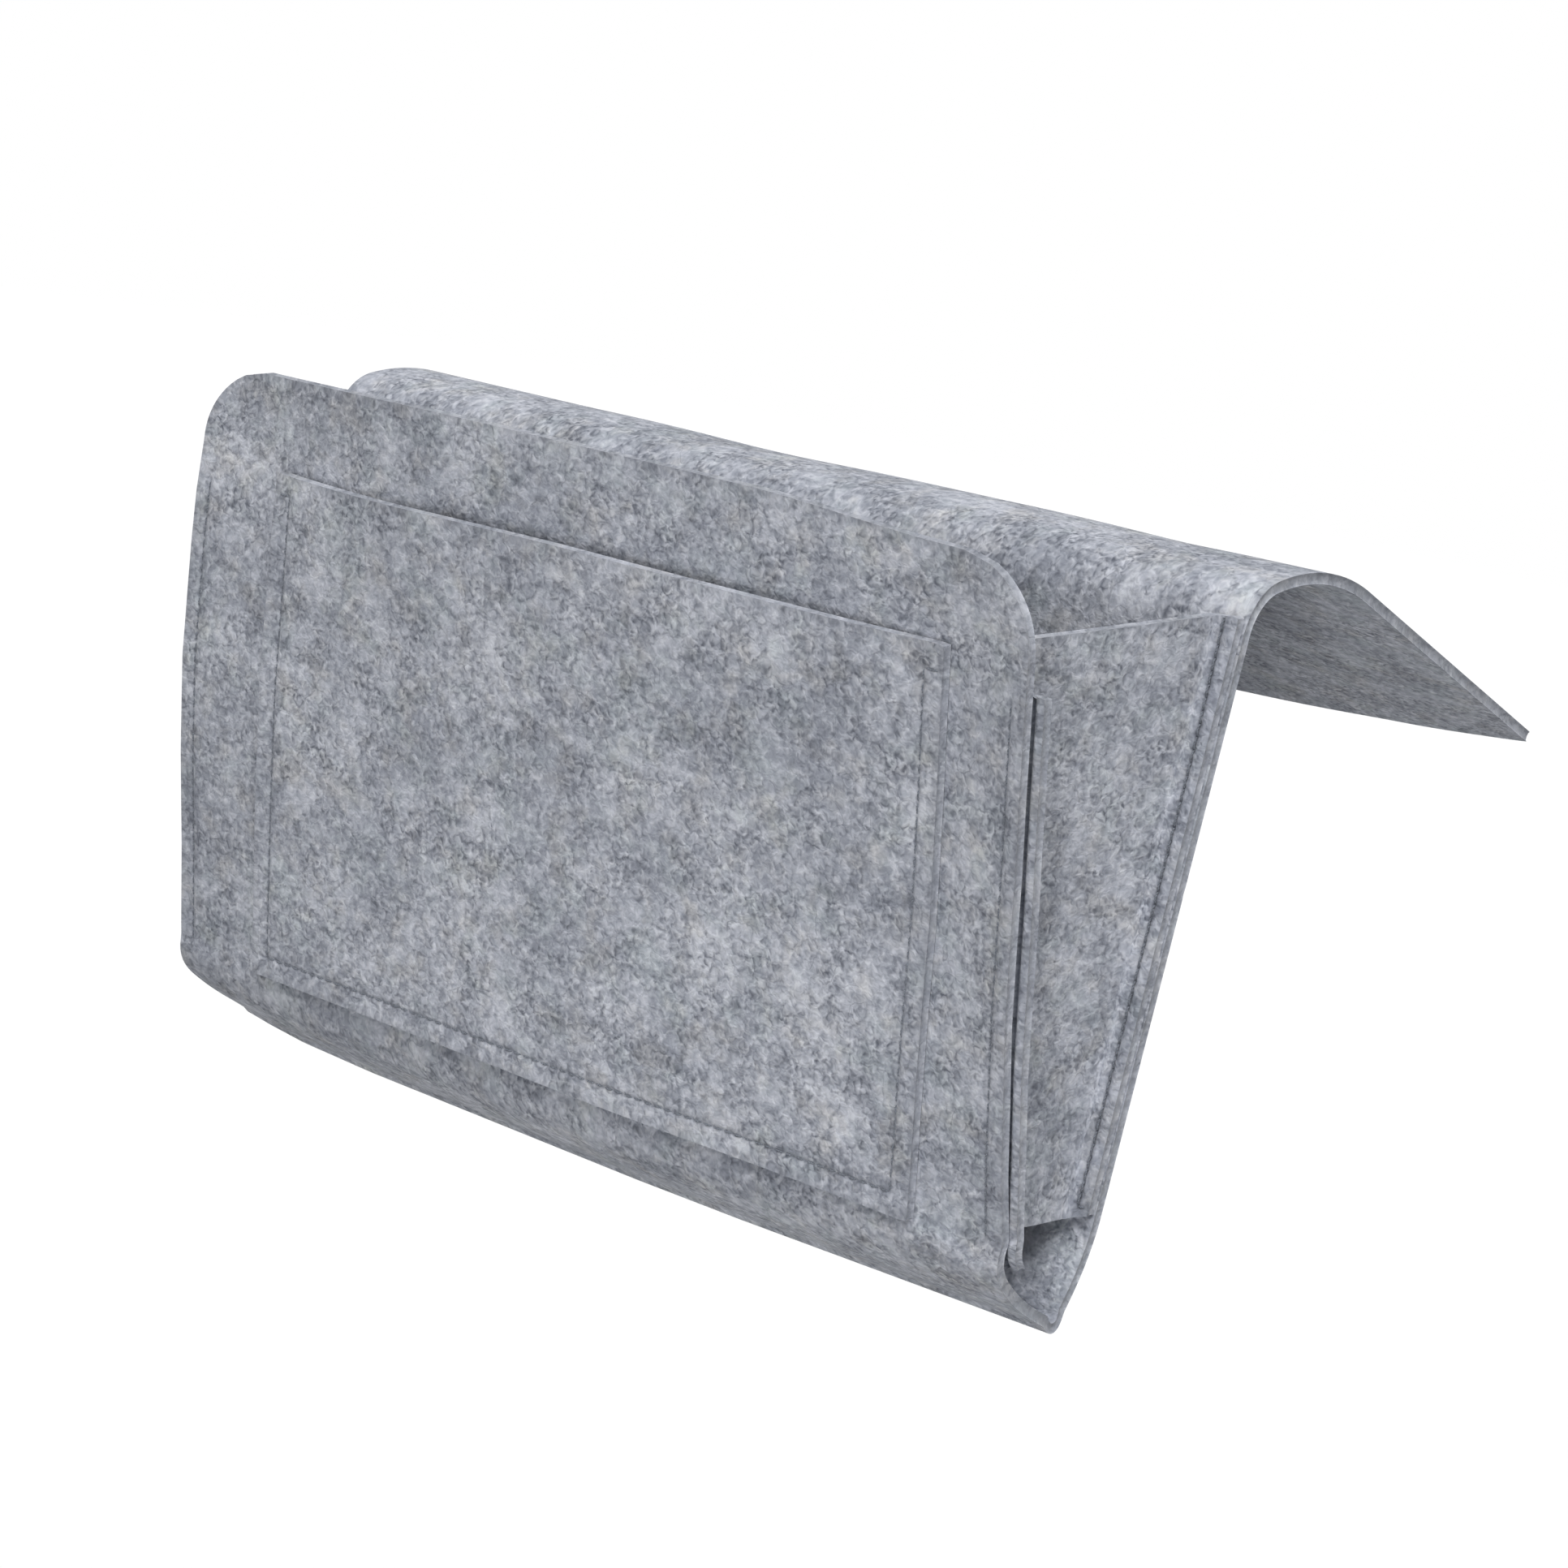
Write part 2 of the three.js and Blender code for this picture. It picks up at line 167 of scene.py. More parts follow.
def sag(x, path):
    """How far the bottom fold hangs below an even fold, and the tongue's middle below its side edges."""
    below = np.interp(
        x, [-158, -145, -130, -100, 10, 50, 100, 130, 155],
        [-2.2, -0.6, 0.7, 1.5, 1.6, 1.1, -0.1, -0.8, -1.4])
    into_fold = smooth(path, walk_starts[heel], walk_starts[fold])
    out_of_fold = smooth(path, walk_starts[belly], walk_starts[front])
    across = 1 - np.abs((x + 10) / (tongue_half + 10)) ** 2.6
    droop = tongue_droop * across * np.clip(1 - path / walk_starts[ridge], 0, 1) ** 1.4
    return below * (into_fold * (1 - out_of_fold)) + droop


# The pocket's seam shows on the front's inner face, and the gussets' seams on its outer face. Each seam is a
# line of places across the width and heights above the front's foot, or above the heel for the rear seam.
pocket_left, pocket_right, pocket_foot, pocket_mouth = -119.0, 128.0, 0.5, 153.0
pocket_inset, pocket_drop, tack, askew = 5.8, 6.5, 5.0, 2.0
left_drop = pocket_drop + 0.5
pocket_line = np.array([
    (pocket_left + pocket_inset + askew - tack, pocket_mouth - left_drop),
    (pocket_left + pocket_inset + askew, pocket_mouth - left_drop),
    (pocket_left + pocket_inset, pocket_foot + pocket_inset),
    (pocket_right - pocket_inset, pocket_foot + pocket_inset),
    (pocket_right - pocket_inset, pocket_mouth - pocket_drop),
    (pocket_right - pocket_inset + tack, pocket_mouth - pocket_drop),
])
gusset_height, gusset_front_rise, gusset_back_rise = 156.0, 1.5, -1.0
flange_drop = 12.0
front_seam_inset, front_tack_inset = 4.8, 1.2
front_line = np.array([
    (front_half - front_seam_inset, gusset_front_rise + gusset_height - flange_drop - 2),
    (front_half - front_seam_inset, gusset_front_rise),
    (front_half - front_tack_inset, gusset_front_rise),
])


def back_half(rise):
    """Half the back's width at a height above its heel."""
    return half_width(walk_starts[heel] - rise)


back_line = np.array([
    (back_half(159.5) - 4.4, 159.5),
    (back_half(125.0) - 3.9, 125.0),
    (back_half(1.0) - 3.8, 1.0),
    (back_half(1.0) - 1.4, 1.0),
])
stitch = 3.5
groove_depth, groove_width = 0.36, 0.5
dimple_depth, dimple_width = 0.12, 2.2


def press(x, rise, lines, holes=0.18):
    """How deep thread pulls the felt in along seam lines, pinched most at every needle hole."""
    deepest = np.zeros(np.broadcast(x, rise).shape)
    for line in lines:
        for a, b in zip(line[:-1], line[1:]):
            run = b - a
            length = math.hypot(*run)
            along = np.clip(((x - a[0]) * run[0] + (rise - a[1]) * run[1]) / length, 0, length)
            away = np.hypot(x - a[0] - run[0] * along / length, rise - a[1] - run[1] * along / length)
            count = max(1, round(length / stitch))
            pinch = 1 - holes + holes * np.cos(2 * math.pi * count * along / length)
            groove = groove_depth * pinch * np.exp(-(away / groove_width) ** 2)
            dimple = dimple_depth * np.exp(-(away / dimple_width) ** 2)
            deepest = np.maximum(deepest, groove + dimple)
    return deepest


def steps(low, high, size, seams=()):
    """Even steps between two places, and finer ones across each seam."""
    even = np.linspace(low, high, max(2, round((high - low) / size) + 1))
    fine = [seam + shift for seam in seams for shift in (-3, -2, -1.3, -0.8, -0.4, 0, 0.4, 0.8, 1.3, 2, 3)]
    fine = np.array([place for place in fine if low + 0.5 < place < high - 0.5])
    if len(fine):
        even = even[[min(abs(fine - place)) > 0.6 or place in (low, high) for place in even]]
    return np.sort(np.concatenate([even, fine]))


# A cut edge in section: how deep into the felt, as a share of its thickness, and how far it is worn back.
rim = np.array([(0.0, 0.45), (0.14, 0.1), (0.5, 0.0), (0.86, 0.1), (1.0, 0.45)])


def felt_piece(name, face, inward, lay, pressed_out=0, pressed_in=0, butted=()):
    """A closed sheet of felt from rows of points on its outer face. Its cut edges are softened and a little
    ragged, apart from butted rows, where two lengths of one sheet meet."""
    turned = np.cross(face[0, 1] - face[0, 0], face[1, 0] - face[0, 0]) @ inward[0, 0] > 0
    if turned:
        face, inward, lay = face[:, ::-1], inward[:, ::-1], lay[:, ::-1]
        pressed_out, pressed_in = (p[:, ::-1] if np.ndim(p) else p for p in (pressed_out, pressed_in))
    rows, columns = face.shape[:2]
    index = np.arange(rows * columns).reshape(rows, columns)
    edge = np.concatenate([index[0, :-1], index[:-1, -1], index[-1, :0:-1], index[:0:-1, 0]])
    points, into = face.reshape(-1, 3), inward.reshape(-1, 3)
    ahead, behind = points[np.roll(edge, -1)], points[np.roll(edge, 1)]
    outward = np.cross(into[edge], behind - ahead)
    outward /= np.linalg.norm(outward, axis=1)[:, None]
    flat = lay.reshape(-1, 2)
    for row in butted:
        on_row = np.isin(edge, index[row])
        outward[on_row] *= np.isin(edge[on_row], index[:, [0, -1]])[:, None] * np.array([1, 0, 0])
    ragged = 0.12 * np.sin(flat[edge].sum(1) * 1.9) + 0.1 * np.sin(flat[edge] @ [3.1, 2.3] + 1)
    pressed = [np.zeros(rows * columns) + np.ravel(p) for p in (pressed_out, pressed_in)]

    verts, lays, cut, deep = [], [], [], []
    for side, level in enumerate((0.0, 1.0)):
        depth = felt_thickness * level + (pressed[0] if side == 0 else -pressed[1])
        skin = points + into * depth[:, None]
        skin[edge] -= outward * rim[0, 1]
        verts.append(skin)
        lays.append(np.column_stack([flat, np.full(len(flat), felt_thickness * level)]))
        edge_mark = np.zeros(len(flat))
        edge_mark[edge] = 0.5
        cut.append(edge_mark)
        deep.append(pressed[side])
    for level, inset in rim[1:-1]:
        ring = points[edge] + into[edge] * felt_thickness * level + outward * (ragged - inset)[:, None]
        verts.append(ring)
        lays.append(np.column_stack([flat[edge], np.full(len(edge), felt_thickness * level)]))
        cut.append(np.ones(len(edge)))
        deep.append(np.zeros(len(edge)))
    quad = np.stack([index[:-1, :-1], index[:-1, 1:], index[1:, 1:], index[1:, :-1]], -1).reshape(-1, 4)
    faces = [quad, quad[:, ::-1] + rows * columns]
    first = 2 * rows * columns
    rings = [edge]
    rings += [first + number * len(edge) + np.arange(len(edge)) for number in range(len(rim) - 2)]
    rings.append(edge + rows * columns)
    for near, far in zip(rings[:-1], rings[1:]):
        faces.append(np.stack([far, np.roll(far, -1), np.roll(near, -1), near], -1))

    mesh = bpy.data.meshes.new(name)
    mesh.from_pydata((np.concatenate(verts) * mm).tolist(), [], np.concatenate(faces).tolist())
    # felt_pressed holds how deep the felt is pressed in, and the material paints it darker there as shade.
    for mark, kind, field, values in (
        ("felt_lay", "FLOAT_VECTOR", "vector", np.concatenate(lays).ravel()),
        ("felt_cut", "FLOAT", "value", np.concatenate(cut)),
        ("felt_pressed", "FLOAT", "value", np.concatenate(deep)),
    ):
        mesh.attributes.new(mark, kind, "POINT").data.foreach_set(field, values)
    mesh.shade_smooth()
    mesh.set_sharp_from_angle(angle=math.radians(62))
    piece = bpy.data.objects.new(name, mesh)
    bpy.context.scene.collection.objects.link(piece)
    return piece


# Colours are written in sRGB, as they look, and turned to linear values for the shader.
def colour(hex_code):
    parts = [int(hex_code[place:place + 2], 16) / 255 for place in (1, 3, 5)]
    return (*[part / 12.92 if part <= 0.04045 else ((part + 0.055) / 1.055) ** 2.4 for part in parts], 1)


def node(tree, kind, settings=(), inputs=()):
    """Adds a node, sets its properties, and fills or links its inputs."""
    made = tree.nodes.new(kind)
    for name, value in dict(settings).items():
        setattr(made, name, value)
    for place, value in dict(inputs).items():
        if isinstance(value, bpy.types.NodeSocket):
            tree.links.new(value, made.inputs[place])
        else:
            made.inputs[place].default_value = value
    return made


# Needled felt of recycled wool and polyester: white, mid grey and charcoal fibres matted by barbed needles,
# so the eye sees heather flecks 1 to 5 mm long, curled dark fibres and a faint bloom of loose ends. The
# pattern is drawn on the flat sheet, in millimetres, so it bends with the felt.
felt = bpy.data.materials.new("heather_needled_felt")
felt.use_nodes = True
tree = felt.node_tree
shader = tree.nodes["Principled BSDF"]
lay = node(tree, "ShaderNodeAttribute", {"attribute_name": "felt_lay"}).outputs["Vector"]
cut = node(tree, "ShaderNodeAttribute", {"attribute_name": "felt_cut"}).outputs["Fac"]
pressed = node(tree, "ShaderNodeAttribute", {"attribute_name": "felt_pressed"}).outputs["Fac"]

# Fibres curl over about 3 mm, so the coordinates of every fleck are pushed about by up to 1 mm.
curl = node(tree, "ShaderNodeTexNoise", {}, {"Vector": lay, "Scale": 1 / 3, "Detail": 1.0})
push = node(tree, "ShaderNodeVectorMath", {"operation": "MULTIPLY_ADD"},
            {0: curl.outputs["Color"], 1: (2.2, 2.2, 1.0), 2: (-1.1, -1.1, -0.5)})
curled = node(tree, "ShaderNodeVectorMath", {"operation": "ADD"}, {0: lay, 1: push.outputs[0]}).outputs[0]

# Charcoal fibre shows as flecks under a millimetre across. The carding leaves them in drifts of about 13 mm
# and in winding veins, where finer dark fibre that the eye can't part makes a smoky ground under them.
drift = node(tree, "ShaderNodeTexNoise", {},
             {"Vector": curled, "Scale": 1 / 13, "Detail": 4.0, "Roughness": 0.65})
crowd = node(tree, "ShaderNodeMapRange", {},
             {"Value": drift.outputs[0], "From Min": 0.4, "From Max": 0.62, "To Min": 0.12})
course = node(tree, "ShaderNodeVectorMath", {"operation": "ADD"}, {0: curled, 1: (31, 83, 3)}).outputs[0]
vein = node(tree, "ShaderNodeTexNoise", {},
            {"Vector": course, "Scale": 1 / 20, "Detail": 3.5, "Roughness": 0.62})
vein = node(tree, "ShaderNodeMath", {"operation": "SUBTRACT"}, {0: vein.outputs[0], 1: 0.5})
vein = node(tree, "ShaderNodeMath", {"operation": "ABSOLUTE"}, {0: vein.outputs[0]})
vein = node(tree, "ShaderNodeMapRange", {"interpolation_type": "SMOOTHSTEP"},
            {"Value": vein.outputs[0], "From Min": 0.0, "From Max": 0.055, "To Min": 0.75, "To Max": 0.0})
crowd = node(tree, "ShaderNodeMath", {"operation": "MAXIMUM"}, {0: crowd.outputs[0], 1: vein.outputs[0]})
fleck = node(tree, "ShaderNodeTexNoise", {},
             {"Vector": curled, "Scale": 1 / 1.5, "Detail": 1.5, "Roughness": 0.5})
spot = node(tree, "ShaderNodeMapRange", {}, {"Value": fleck.outputs[0], "From Min": 0.42, "From Max": 0.7})
flecked = node(tree, "ShaderNodeMath", {"operation": "MULTIPLY"}, {0: spot.outputs[0], 1: crowd.outputs[0]})
clump = node(tree, "ShaderNodeTexNoise", {},
             {"Vector": course, "Scale": 1 / 3.6, "Detail": 2.0, "Roughness": 0.6})
smoke = node(tree, "ShaderNodeMapRange", {},
             {"Value": clump.outputs[0], "From Min": 0.36, "From Max": 0.68})
smoke = node(tree, "ShaderNodeMath", {"operation": "MULTIPLY"}, {0: smoke.outputs[0], 1: crowd.outputs[0]})

# Single dark fibres are lines on which a curled noise passes through its middle value, broken up by another.
strands = {}
for shade, shift, size, thick in (("short", (0, 0, 0), 4.5, 0.022), ("long", (61, 17, 9), 14, 0.007)):
    moved = node(tree, "ShaderNodeVectorMath", {"operation": "ADD"}, {0: curled, 1: shift}).outputs[0]
    field = node(tree, "ShaderNodeTexNoise", {}, {"Vector": moved, "Scale": 1 / size, "Detail": 1.0})
    off = node(tree, "ShaderNodeMath", {"operation": "SUBTRACT"}, {0: field.outputs[0], 1: 0.5})
    near = node(tree, "ShaderNodeMath", {"operation": "ABSOLUTE"}, {0: off.outputs[0]})
    line = node(tree, "ShaderNodeMapRange", {"interpolation_type": "SMOOTHSTEP"},
                {"Value": near.outputs[0], "From Min": 0.0, "From Max": thick, "To Min": 1.0, "To Max": 0.0})
    gaps = node(tree, "ShaderNodeTexNoise", {}, {"Vector": moved, "Scale": 0.8 / size, "Detail": 1.0})
    part = node(tree, "ShaderNodeMapRange", {},
                {"Value": gaps.outputs[0], "From Min": 0.5, "From Max": 0.62})
    strands[shade] = node(tree, "ShaderNodeMath", {"operation": "MULTIPLY"},
                          {0: line.outputs[0], 1: part.outputs[0]})

# The pale ground is itself uneven: white and mid grey fibre in clouds of 3 and 30 mm under the flecks.
mottle = node(tree, "ShaderNodeTexNoise", {},
              {"Vector": curled, "Scale": 1 / 3.2, "Detail": 2.0, "Roughness": 0.7})
cloud = node(tree, "ShaderNodeTexNoise", {}, {"Vector": lay, "Scale": 1 / 32, "Detail": 2.0})
ground = node(tree, "ShaderNodeMath", {"operation": "MULTIPLY_ADD"},
              {0: cloud.outputs[0], 1: 0.55, 2: -0.275})
ground = node(tree, "ShaderNodeMath", {"operation": "ADD"}, {0: mottle.outputs[0], 1: ground.outputs[0]})
light = node(tree, "ShaderNodeMapRange", {},
             {"Value": ground.outputs[0], "From Min": 0.33, "From Max": 0.67})
tone = node(tree, "ShaderNodeValToRGB", {}, {"Fac": light.outputs[0]})
for place, code in ((0, "#989ca7"), (0.35, "#aaaeb8"), (0.65, "#b9bcc6"), (1, "#cacdd5")):
    stop = tone.color_ramp.elements[-int(place)] if place in (0, 1) else tone.color_ramp.elements.new(place)
    stop.color = colour(code)

coat = tone.outputs[0]
for amount, strength, code in (
    (smoke, 0.62, "#5a5f69"), (flecked, 0.95, "#575b66"), (strands["short"], 0.22, "#5b6069"),
    (strands["long"], 0.4, "#555a63"),
):
    share = node(tree, "ShaderNodeMath", {"operation": "MULTIPLY"}, {0: amount.outputs[0], 1: strength})
    coat = node(tree, "ShaderNodeMix", {"data_type": "RGBA"},
                {0: share.outputs[0], 6: coat, 7: colour(code)}).outputs[2]

# Rust and green fibre from the recycled wool tints patches of about 12 mm. Where a seam or another ply
# presses the felt in, it is painted darker, as painted shade in the groove. The cut edges are painted
# darker too, as painted shade that tones down the light falling on them.
for shift, code in (((47, 5, 13), "#fffcf6"), ((23, 71, 5), "#fcfffc")):
    moved = node(tree, "ShaderNodeVectorMath", {"operation": "ADD"}, {0: curled, 1: shift}).outputs[0]
    patch = node(tree, "ShaderNodeTexNoise", {},
                 {"Vector": moved, "Scale": 1 / 12, "Detail": 3.0, "Roughness": 0.6})
    tint = node(tree, "ShaderNodeMapRange", {},
                {"Value": patch.outputs[0], "From Min": 0.5, "From Max": 0.68})
    coat = node(tree, "ShaderNodeMix", {"data_type": "RGBA", "blend_type": "MULTIPLY"},
                {0: tint.outputs[0], 6: coat, 7: colour(code)}).outputs[2]
# Painted shade: darker where the felt is pressed in, along the seam grooves and the bites in the gussets.
pressed_shade_share = node(tree, "ShaderNodeMapRange", {}, {"Value": pressed, "From Max": 1.1})
pressed_shaded = node(tree, "ShaderNodeMix", {"data_type": "RGBA", "blend_type": "MULTIPLY"},
                 {0: pressed_shade_share.outputs[0], 6: coat, 7: colour("#8d9096")})
# Painted shade on the cut edges: darker, to tone down the light that falls on them.
edge_shade_share = node(tree, "ShaderNodeMath", {"operation": "MULTIPLY"}, {0: cut, 1: 0.5})
edge_shaded = node(tree, "ShaderNodeMix", {"data_type": "RGBA"},
             {0: edge_shade_share.outputs[0], 6: pressed_shaded.outputs[2], 7: colour("#8f929a")})
tree.links.new(edge_shaded.outputs[2], shader.inputs["Base Color"])

# The face is a mat of fibre less than a millimetre deep: clumps stand up, and dark flecks lie lower.
grain = node(tree, "ShaderNodeTexNoise", {},
             {"Vector": curled, "Scale": 1 / 0.8, "Detail": 2.0, "Roughness": 0.6})
height = node(tree, "ShaderNodeMath", {"operation": "MULTIPLY_ADD"},
              {0: fleck.outputs[0], 1: -0.5, 2: mottle.outputs[0]})
height = node(tree, "ShaderNodeMath", {"operation": "MULTIPLY_ADD"},
              {0: grain.outputs[0], 1: 0.4, 2: height.outputs[0]})
bump = node(tree, "ShaderNodeBump", {}, {"Height": height.outputs[0], "Distance": 0.0006, "Strength": 0.5})
tree.links.new(bump.outputs[0], shader.inputs["Normal"])
shader.inputs["Roughness"].default_value = 0.95
shader.inputs["Specular IOR Level"].default_value = 0.2
shader.inputs["Sheen Weight"].default_value = 0.12
shader.inputs["Sheen Roughness"].default_value = 0.6


def body_length(name, low, high, size_of, butted):
    """One length of the body sheet, between two places along it."""
    rows = np.unique(np.concatenate([
        steps(max(low, start), min(high, start + length), size, seams)
        for start, length, (size, seams) in zip(walk_starts, walk_lengths, size_of)
        if start < high and start + length > low
    ]).round(4))
    y, z, heading = side_view(rows)
    half = half_width(rows)
    edge_in = np.array([0, 1.4, 2.2, 3, 3.6, 4.2, 4.6, 5, 5.4, 6, 7, 8.5, 11])
    middle = steps(-141, 141, 2.6, (pocket_left + pocket_inset, pocket_right - pocket_inset)) / 141
    x = np.concatenate([
        -(half[:, None] - edge_in), middle * (half[:, None] - 14), (half[:, None] - edge_in)[:, ::-1]
    ], 1)
    rise = (rows - walk_starts[front])[:, None]
    inward = np.stack([0 * rows, np.sin(heading), -np.cos(heading)], -1)[:, None, :] + 0 * x[:, :, None]
    past_fold = rise > walk_starts[fold] - walk_starts[front]
    hanging = smooth(-rise, 60, 140)
    back_wave = 0.6 * ripple(x, rise, 110) * hanging * (1 - smooth(np.abs(x), 115, 142))
    around_fold = np.clip((rows[:, None] - walk_starts[fold]) / walk_lengths[fold], 0, 1)
    creased = 2.1 * np.sin(math.pi * around_fold) ** 2
    wave = np.where(past_fold, front_lean(x, rise) + bulge(x, rise), back_wave) + creased
    sagging = z[:, None] - sag(x, rows[:, None])
    top_dip = (3.0 * smooth(-x, 50, 150) + 2.8 * smooth(x, 60, 128)) * smooth(rise, 148, front_height)
    face = np.stack([x, y[:, None] + 0 * x, sagging - top_dip], -1) - inward * wave[:, :, None]
    flat = np.stack([x, rows[:, None] + 0 * x], -1)
    back_rise = walk_starts[heel] - rows[:, None]
    out = press(np.abs(x), rise, [front_line]) + press(np.abs(x), back_rise, [back_line])
    into = press(x, rise, [pocket_line])
    return felt_piece(name, face, inward, flat, out, into, butted=butted)


# The sheet is one piece of felt. It is made here in two lengths that meet in a plain butt in the back,
# because a mesh can bend between two bodies only, and the tongue, the back and the front are three. Each
# stretch has its own size of step, and the front has finer ones across the pocket's seam.
split = 245.5
front_seams = (
    walk_starts[front] + pocket_foot + pocket_inset, walk_starts[front] + pocket_mouth - pocket_drop)
row_sizes = [(size, ()) for size in (3.0, 2.0, 1.0, 1.75, 2.2, 0.8, 2.2, 1.5)] + [(1.75, front_seams)]
upper = body_length("body_sheet_upper", 0, split, row_sizes, (-1,))
lower = body_length("body_sheet_lower", split, sheet_length, row_sizes, (0,))
for piece, nodes in (
    (upper, ("tongue", "top_bend")), (lower, ("back_panel", "bottom_fold", "front_panel")),
):
    piece.data.materials.append(felt)
    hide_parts(*nodes)
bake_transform(upper)
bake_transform(lower)


# Front pocket
# A plain rectangle of the same felt, sewn down on three sides and open at the top. Its mouth stands a
# little off the front, because a phone or a book has been slid in and out behind it.

layer_gap = 0.3
mouth_gape, corner_dip = 2.2, 1.6
front_y, front_z, front_heading = (float(value[0]) for value in side_view([walk_starts[front]]))
front_up = np.array([0, math.cos(front_heading), math.sin(front_heading)])
front_out = np.array([0, -math.sin(front_heading), math.cos(front_heading)])
front_foot = np.array([0, front_y, front_z])


def on_front(x, rise, out):
    """A point on the front's plane, this far to the right, up and out."""
    x, rise, out = np.broadcast_arrays(x, rise, out)
    return (front_foot + x[..., None] * np.array([1, 0, 0]) + rise[..., None] * front_up
            + out[..., None] * front_out)


def pocket_gape(x, rise):
    """How far the pocket stands off the front between its side seams."""
    seam_to_seam = pocket_right - pocket_left - 2 * pocket_inset
    between = np.clip((x - pocket_left - pocket_inset) / seam_to_seam, 0, 1)
    open_by = mouth_gape * smooth(rise, 70, pocket_mouth) + 0.2 * ripple(x, rise, 60) * smooth(rise, 8, 30)
    return np.sin(math.pi * between) ** 0.7 * open_by


columns = steps(pocket_left, pocket_right, 1.75, (pocket_left + pocket_inset, pocket_right - pocket_inset))
rises = steps(pocket_foot, pocket_mouth, 1.75, (pocket_foot + pocket_inset, pocket_mouth - pocket_drop))
cut_x, cut_rise = np.meshgrid(columns, rises)
sewn_rise = cut_rise - corner_dip * smooth(-cut_x, 0, -pocket_left) * smooth(cut_rise, 100, pocket_mouth)
sewn_x = cut_x + askew * (pocket_right - cut_x) / (pocket_right - pocket_left) * (
    sewn_rise - pocket_foot) / (pocket_mouth - pocket_foot)
stand = layer_gap + front_lean(sewn_x, sewn_rise) + pocket_gape(cut_x, cut_rise)
pocket = felt_piece(
    "front_pocket_sheet", on_front(sewn_x, sewn_rise, stand + felt_thickness),
    -front_out + 0 * sewn_x[..., None], np.stack([sewn_x + 400, sewn_rise + 90], -1),
    pressed_out=press(sewn_x, sewn_rise, [pocket_line]),
)
pocket.data.materials.append(felt)
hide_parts("front_pocket")
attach(pocket, "pouch_front")


# Gussets
# Each side is closed by a strip of the same felt across the pouch's depth. It is turned out at both edges
# into flanges, one sewn behind the front panel and one onto the back, so its raw edges show.

# How far the front flange stands out past the front's edge, the left one by more near its top, and the
# flanges' widths. The back one ends a little inside the back's edge.
flange_proud, left_flare = 2.8, 2.2
front_flange, back_flange, back_inset = 11.5, 6.2, 0.4
front_turn, back_turn = 2.5, 2.6
foot_drop, top_rise = 2.4, 4.6
near_face = felt_thickness + layer_gap
belly_radius = stretches[belly][0]
back_y, back_z, _ = (float(value[0]) for value in side_view([walk_starts[heel]]))


def behind_front(rise, depth):
    """Place in the side view this deep behind the front's outer face, round the belly below its foot."""
    turn = np.maximum(-rise, 0) / belly_radius
    radius = belly_radius - depth
    up = np.maximum(rise, 0) - radius * np.sin(turn)
    out = radius * np.cos(turn) - belly_radius
    return on_front(0 * up, up, out)


def crease(before, corner, after, radius, count):
    """Points round a corner, on a curve that leaves each side at this distance from it."""
    enter = corner + (before - corner) / np.linalg.norm(before - corner) * radius
    leave = corner + (after - corner) / np.linalg.norm(after - corner) * radius
    share = np.linspace(0, 1, count)[:, None]
    return (1 - share) ** 2 * enter + 2 * share * (1 - share) * corner + share ** 2 * leave


# Steps along the two flanges from their free edges, finer beside the front's cut edge and at the rear seam.
front_steps = np.array([0, 0.9, 1.7, 2.3, 2.7, 3.1, 3.5, 3.9, 4.5, 5.5, 6.5, 7.2, 7.9, 8.6, 9.2])[:, None]
back_steps = np.array([4.7, 4.2, 3.9, 3.6, 3.3, 3.0, 2.5, 1.7, 0.8, 0])[:, None]


